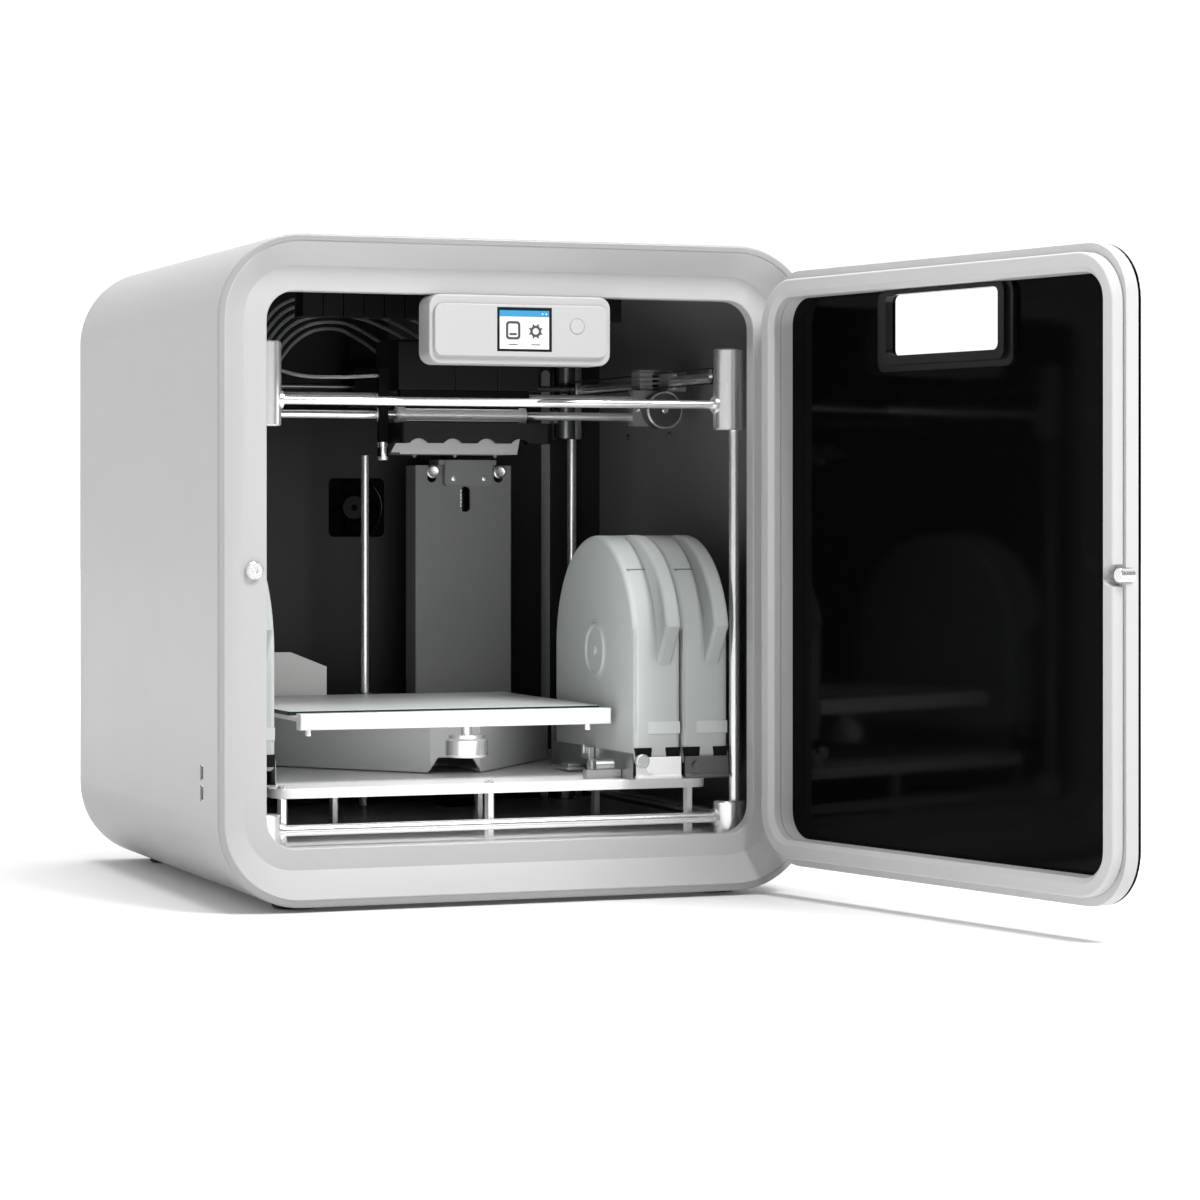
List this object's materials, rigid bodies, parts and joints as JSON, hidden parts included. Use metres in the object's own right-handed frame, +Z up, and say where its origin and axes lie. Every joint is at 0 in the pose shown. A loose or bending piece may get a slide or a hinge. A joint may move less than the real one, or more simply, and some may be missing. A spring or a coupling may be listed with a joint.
{
  "type": "fdm printer",
  "caption": "Enclosed desktop filament printer with a hinged glass door, moving bed and head, and plug-in filament cartridges.",
  "frame": {"origin": "on the floor plane under the centre of the cabinet", "axes": "+X to the right seen from the front, +Y from the front to the back, +Z up; the door stands open at rest"},
  "size_m": [0.6452, 1.0394, 0.599],
  "materials": {
    "white_shell": "satin",
    "white_plastic": "satin",
    "door_white": "satin",
    "cover_grey": "satin",
    "dark_liner": "satin",
    "black_glass": "gloss",
    "black_plastic": "satin",
    "white_metal": "satin",
    "column_grey": "satin",
    "sheet_steel": "brushed",
    "supply_case": "satin",
    "chrome_rod": "polished",
    "fitting_metal": "satin",
    "foot_rubber": "matte",
    "belt_rubber": "matte",
    "bed_glass": "polished",
    "cartridge_shell": "satin",
    "nut_steel": "satin",
    "screen": "gloss",
    "clear_tube": "clear",
    "board_green": "satin",
    "bin_white": "matte"
  },
  "bodies": {
    "cabinet": {"outer_shell": "white_shell", "front_bezel": "white_plastic", "rear_cover": "cover_grey", "chamber_liner": "dark_liner", "back_wall": "dark_liner", "base_pan": "white_metal", "base_cover": "cover_grey", "feet": "foot_rubber", "usb_ports": "sheet_steel", "panel_housing": "white_plastic", "panel_fascia": "white_plastic", "display": "screen", "hinge_pins": "sheet_steel", "door_strike": "chrome_rod", "corner_fittings": "fitting_metal", "frame_rods": "chrome_rod", "y_belts": "belt_rubber", "stepper_motors": "black_plastic", "drag_chain": "black_plastic", "filament_tubes": "clear_tube", "z_column": "column_grey", "z_bracket": "fitting_metal", "floor_plate": "white_metal", "floor_standoffs": "sheet_steel", "cartridge_trays": "sheet_steel", "purge_bin": "bin_white", "mains_inlet": "black_plastic", "power_supply": "supply_case", "mainboard": "board_green"},
    "door": {"door_glass": "black_glass", "door_outer_ring": "door_white", "door_inner_ring": "door_white", "door_rim": "black_plastic", "door_hardware": "chrome_rod"},
    "power_button": {"power_button": "white_plastic"},
    "power_switch": {"power_switch": "black_plastic"},
    "fan_rotor": {"fan_rotor": "black_plastic"},
    "bed": {"bed_glass": "bed_glass", "bed_tray": "white_metal", "bed_support": "column_grey", "z_nut": "nut_steel"},
    "level_knob": {"level_knob": "chrome_rod"},
    "lead_screw": {"lead_screw": "sheet_steel"},
    "gantry": {"gantry_blocks": "column_grey", "x_rods": "chrome_rod", "x_motor": "column_grey", "x_belt": "belt_rubber"},
    "head": {"head_frame": "chrome_rod", "extruder_covers": "black_plastic", "fan_duct": "black_plastic", "nozzles": "sheet_steel"},
    "x_drive_pulley": {"x_drive_pulley": "fitting_metal"},
    "x_idler": {"x_idler": "fitting_metal"},
    "y_drive_shaft": {"y_drive_shaft": "sheet_steel"},
    "y_idlers": {"y_idlers": "fitting_metal"},
    "cartridge_left": {"cartridge_left": "cartridge_shell"},
    "cartridge_middle": {"cartridge_middle": "cartridge_shell"},
    "cartridge_right": {"cartridge_right": "cartridge_shell"},
    "latch_middle": {"latch_middle": "white_metal"},
    "latch_right": {"latch_right": "sheet_steel"}
  },
  "joints": [
    {"name": "door_swing", "type": "hinge", "parent": "cabinet", "child": "door", "pos_m": [0.248, -0.2717, 0.3015], "axis": [0, 0, 1], "range_deg": [-102.14, 32.86]},
    {"name": "power_button_press", "type": "slide", "parent": "cabinet", "child": "power_button", "axis": [0, 1, 0], "range_m": [0, 0.001], "stiffness_N_per_m": 800, "springref_m": -0.001},
    {"name": "power_switch_rock", "type": "hinge", "parent": "cabinet", "child": "power_switch", "pos_m": [-0.17, 0.271, 0.035], "axis": [1, 0, 0], "range_deg": [-9, 0]},
    {"name": "fan_spin", "type": "hinge", "parent": "cabinet", "child": "fan_rotor", "pos_m": [0, 0.261, 0.3585], "axis": [0, 1, 0], "continuous": true},
    {"name": "bed_lift", "type": "slide", "parent": "cabinet", "child": "bed", "axis": [0, 0, 1], "range_m": [0, 0.232]},
    {"name": "level_knob_turn", "type": "hinge", "parent": "bed", "child": "level_knob", "pos_m": [-0.005, -0.125, 0.134], "axis": [0, 0, 1], "continuous": true},
    {"name": "lead_screw_turn", "type": "hinge", "parent": "cabinet", "child": "lead_screw", "pos_m": [0.092, 0.181, 0.244], "axis": [0, 0, -1], "range_deg": [0, 10441]},
    {"name": "gantry_slide", "type": "slide", "parent": "cabinet", "child": "gantry", "axis": [0, 1, 0], "range_m": [-0.11, 0.15], "deforming": ["filament_tubes"]},
    {"name": "head_slide", "type": "slide", "parent": "gantry", "child": "head", "axis": [1, 0, 0], "range_m": [-0.125, 0.095], "deforming": ["filament_tubes"]},
    {"name": "x_drive_turn", "type": "hinge", "parent": "gantry", "child": "x_drive_pulley", "pos_m": [0.223, -0.021, 0.4536], "axis": [0, 1, 0], "range_deg": [-1156, 879]},
    {"name": "x_idler_turn", "type": "hinge", "parent": "gantry", "child": "x_idler", "pos_m": [-0.223, -0.021, 0.4536], "axis": [0, 1, 0], "range_deg": [-1156, 879]},
    {"name": "y_drive_turn", "type": "hinge", "parent": "cabinet", "child": "y_drive_shaft", "pos_m": [0, 0.203, 0.4825], "axis": [-1, 0, 0], "range_deg": [-970, 1323]},
    {"name": "y_idler_turn", "type": "hinge", "parent": "cabinet", "child": "y_idlers", "pos_m": [0, -0.183, 0.4825], "axis": [-1, 0, 0], "range_deg": [-970, 1323]},
    {"name": "cartridge_left_lift", "type": "slide", "parent": "cabinet", "child": "cartridge_left", "axis": [0, 0, 1], "range_m": [0, 0.06]},
    {"name": "cartridge_middle_lift", "type": "slide", "parent": "cabinet", "child": "cartridge_middle", "axis": [0, 0, 1], "range_m": [0, 0.06]},
    {"name": "cartridge_right_lift", "type": "slide", "parent": "cabinet", "child": "cartridge_right", "axis": [0, 0, 1], "range_m": [0, 0.06]},
    {"name": "latch_middle_fold", "type": "hinge", "parent": "cabinet", "child": "latch_middle", "pos_m": [0.15, -0.216, 0.1065], "axis": [1, 0, 0], "range_deg": [0, 95]},
    {"name": "latch_right_fold", "type": "hinge", "parent": "cabinet", "child": "latch_right", "pos_m": [0.15, -0.216, 0.1065], "axis": [1, 0, 0], "range_deg": [0, 95]}
  ],
  "couplings": [
    {"joint": "lead_screw_turn", "follows": "bed_lift", "rad_per_m": 785.4},
    {"joint": "y_drive_turn", "follows": "gantry_slide", "rad_per_m": 153.85},
    {"joint": "y_idler_turn", "follows": "gantry_slide", "rad_per_m": 153.85},
    {"joint": "x_drive_turn", "follows": "head_slide", "rad_per_m": 161.29},
    {"joint": "x_idler_turn", "follows": "head_slide", "rad_per_m": 161.29}
  ]
}
